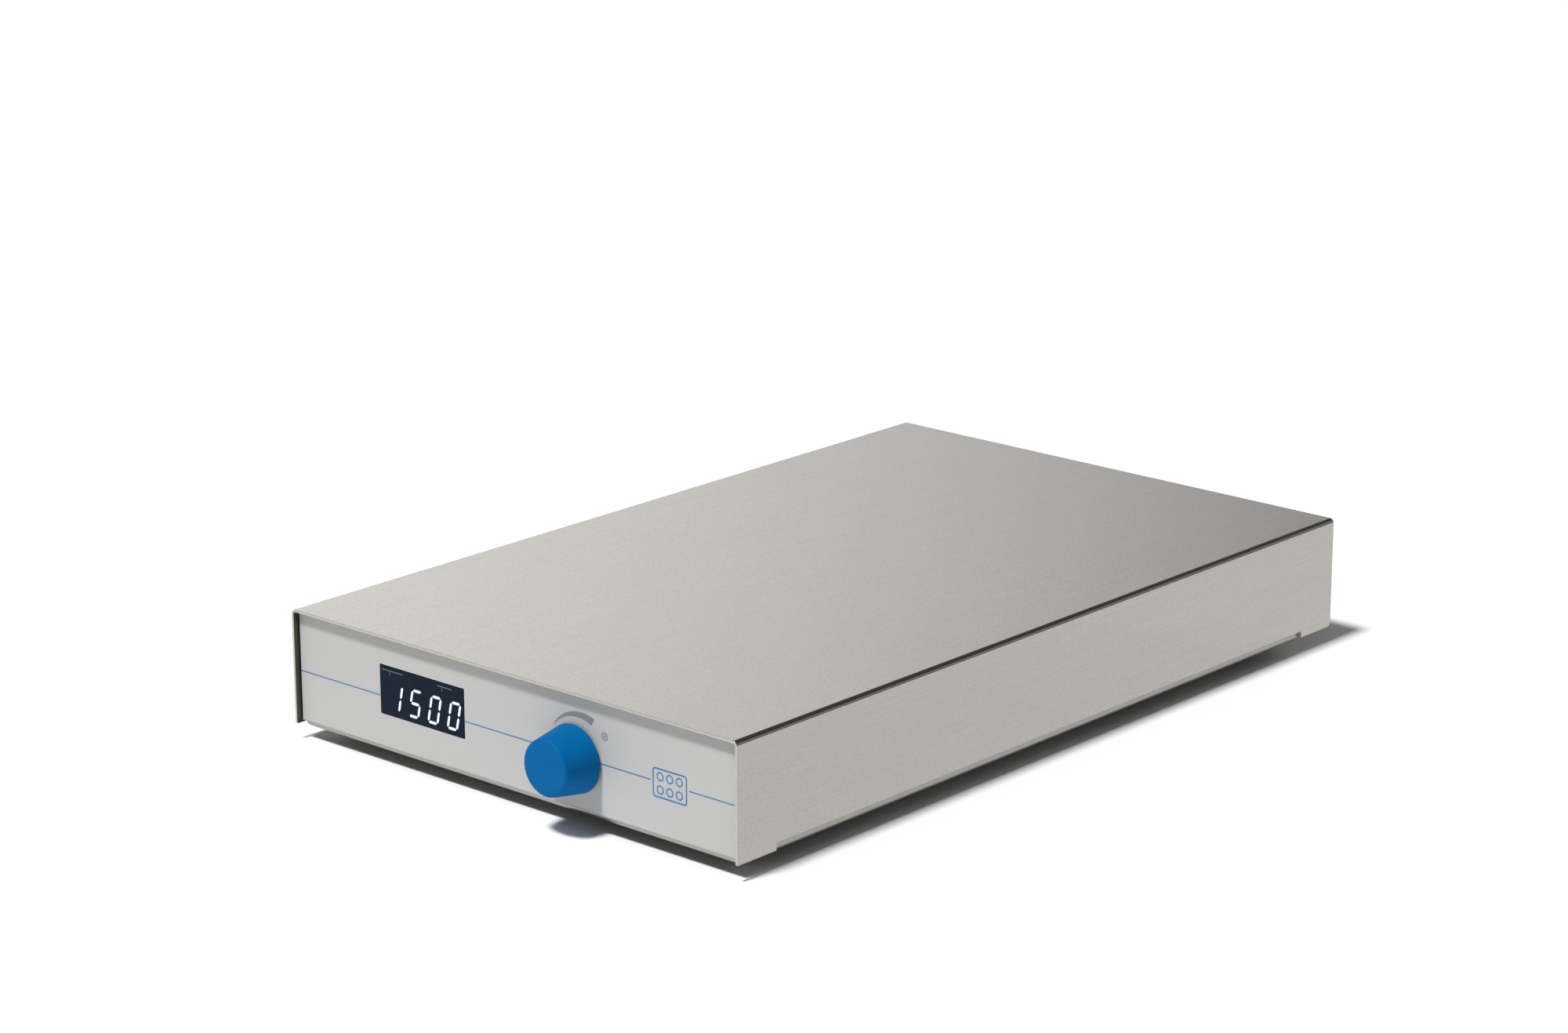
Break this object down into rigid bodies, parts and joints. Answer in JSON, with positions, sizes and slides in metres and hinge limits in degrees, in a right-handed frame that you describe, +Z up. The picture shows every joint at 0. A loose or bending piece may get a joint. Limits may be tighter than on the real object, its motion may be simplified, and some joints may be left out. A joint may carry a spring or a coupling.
{
  "type": "magnetic stirrer",
  "caption": "Flat belt-driven magnetic stirrer with stirring positions in two rows, folded steel cover, digital display and push knob.",
  "frame": {"origin": "middle of the bounding box, on the surface that the feet stand on", "axes": "+X right along the front, -Y towards the user at the control panel, +Z up"},
  "size_m": [0.228, 0.3734, 0.052],
  "materials": {
    "stainless": "brushed along the long side",
    "tray_steel": "plain stainless sheet, satin",
    "overlay_film": "light grey printed film, fine matt",
    "window_tint": "dark tinted, glossy",
    "knob_blue": "blue, fine matt",
    "rubber": "black, matt",
    "zinc_steel": "zinc plated",
    "black_plastic": "black, moulded",
    "rotor_plastic": "natural white, moulded",
    "magnet": "dark ferrite",
    "belt": "orange round polyurethane belt, satin",
    "brass": "turned",
    "motor_can": "drawn steel can",
    "board": "green solder mask",
    "transformer": "yellow tape over a ferrite core"
  },
  "bodies": {
    "case": {"cover": "stainless", "base_tray": "tray_steel", "front_overlay": "overlay_film", "display_window": "window_tint", "foot_1": "rubber", "foot_2": "rubber", "foot_3": "rubber", "foot_4": "rubber", "pillar_1": "zinc_steel", "pillar_2": "zinc_steel", "pillar_3": "zinc_steel", "pillar_4": "zinc_steel", "cover_screw_1": "zinc_steel", "cover_screw_2": "zinc_steel", "cover_screw_3": "zinc_steel", "cover_screw_4": "zinc_steel", "spindle_1": "zinc_steel", "spindle_2": "zinc_steel", "spindle_3": "zinc_steel", "spindle_4": "zinc_steel", "spindle_5": "zinc_steel", "spindle_6": "zinc_steel", "motor_bracket": "zinc_steel", "idler_post_left": "zinc_steel", "idler_post_right": "zinc_steel", "tensioner_post": "zinc_steel", "tensioner_spring": "zinc_steel", "encoder_body": "zinc_steel", "encoder_nut": "zinc_steel", "display_module": "black_plastic", "power_inlet": "black_plastic", "switch_body": "black_plastic", "mains_capacitor": "black_plastic", "drive_belt": "belt", "motor_body": "motor_can", "control_board": "board", "power_board": "board", "transformer": "transformer"},
    "rotor_1_body": {"rotor_1": "rotor_plastic", "magnet_1": "magnet"},
    "rotor_2_body": {"rotor_2": "rotor_plastic", "magnet_2": "magnet"},
    "rotor_3_body": {"rotor_3": "rotor_plastic", "magnet_3": "magnet"},
    "rotor_4_body": {"rotor_4": "rotor_plastic", "magnet_4": "magnet"},
    "rotor_5_body": {"rotor_5": "rotor_plastic", "magnet_5": "magnet"},
    "rotor_6_body": {"rotor_6": "rotor_plastic", "magnet_6": "magnet"},
    "motor_rotor": {"motor_shaft": "zinc_steel", "motor_pulley": "brass"},
    "idler_left": {"idler_roller_left": "black_plastic"},
    "idler_right": {"idler_roller_right": "black_plastic"},
    "tensioner": {"tensioner_arm": "zinc_steel"},
    "tensioner_wheel": {"tensioner_roller": "black_plastic"},
    "encoder_core": {"encoder_rotor": "brass"},
    "knob_body": {"encoder_shaft": "zinc_steel", "knob": "knob_blue"},
    "rocker": {"switch_rocker": "black_plastic"}
  },
  "joints": [
    {"name": "rotor_1_spin", "type": "hinge", "parent": "case", "child": "rotor_1_body", "pos_m": [-0.052, -0.0883, 0.04], "axis": [0, 0, 1], "continuous": true},
    {"name": "rotor_2_spin", "type": "hinge", "parent": "case", "child": "rotor_2_body", "pos_m": [-0.052, 0.0067, 0.04], "axis": [0, 0, 1], "continuous": true},
    {"name": "rotor_3_spin", "type": "hinge", "parent": "case", "child": "rotor_3_body", "pos_m": [-0.052, 0.1017, 0.04], "axis": [0, 0, 1], "continuous": true},
    {"name": "rotor_4_spin", "type": "hinge", "parent": "case", "child": "rotor_4_body", "pos_m": [0.052, -0.0883, 0.04], "axis": [0, 0, 1], "continuous": true},
    {"name": "rotor_5_spin", "type": "hinge", "parent": "case", "child": "rotor_5_body", "pos_m": [0.052, 0.0067, 0.04], "axis": [0, 0, 1], "continuous": true},
    {"name": "rotor_6_spin", "type": "hinge", "parent": "case", "child": "rotor_6_body", "pos_m": [0.052, 0.1017, 0.04], "axis": [0, 0, 1], "continuous": true},
    {"name": "motor_spin", "type": "hinge", "parent": "case", "child": "motor_rotor", "pos_m": [0, -0.137, 0.037], "axis": [0, 0, 1], "continuous": true},
    {"name": "idler_left_spin", "type": "hinge", "parent": "case", "child": "idler_left", "pos_m": [-0.024, -0.119, 0.0365], "axis": [0, 0, 1], "continuous": true},
    {"name": "idler_right_spin", "type": "hinge", "parent": "case", "child": "idler_right", "pos_m": [0.024, -0.119, 0.0365], "axis": [0, 0, 1], "continuous": true},
    {"name": "tensioner_swing", "type": "hinge", "parent": "case", "child": "tensioner", "pos_m": [0.036, 0.1337, 0.0282], "axis": [0, 0, -1], "range_deg": [0, 10], "stiffness_Nm_per_rad": 0.05, "springref_deg": -34.38},
    {"name": "tensioner_wheel_spin", "type": "hinge", "parent": "tensioner", "child": "tensioner_wheel", "pos_m": [0, 0.1257, 0.0365], "axis": [0, 0, 1], "continuous": true},
    {"name": "knob_turn", "type": "hinge", "parent": "case", "child": "encoder_core", "pos_m": [0.0335, -0.1733, 0.0265], "axis": [0, -1, 0], "continuous": true},
    {"name": "knob_push", "type": "slide", "parent": "encoder_core", "child": "knob_body", "axis": [0, 1, 0], "range_m": [0, 0.0005], "stiffness_N_per_m": 3000, "springref_m": -0.0005},
    {"name": "power_rocker", "type": "hinge", "parent": "case", "child": "rocker", "pos_m": [-0.036, 0.1677, 0.028], "axis": [-1, 0, 0], "range_deg": [0, 18]}
  ],
  "couplings": [
    {"joint": "rotor_2_spin", "follows": "rotor_1_spin", "ratio": -1},
    {"joint": "rotor_3_spin", "follows": "rotor_1_spin", "ratio": 1},
    {"joint": "rotor_4_spin", "follows": "rotor_1_spin", "ratio": 1},
    {"joint": "rotor_5_spin", "follows": "rotor_1_spin", "ratio": -1},
    {"joint": "rotor_6_spin", "follows": "rotor_1_spin", "ratio": 1},
    {"joint": "motor_spin", "follows": "rotor_1_spin", "ratio": 2.4444},
    {"joint": "idler_left_spin", "follows": "rotor_1_spin", "ratio": -3.1429},
    {"joint": "idler_right_spin", "follows": "rotor_1_spin", "ratio": -3.1429},
    {"joint": "tensioner_wheel_spin", "follows": "rotor_1_spin", "ratio": -3.1429}
  ]
}
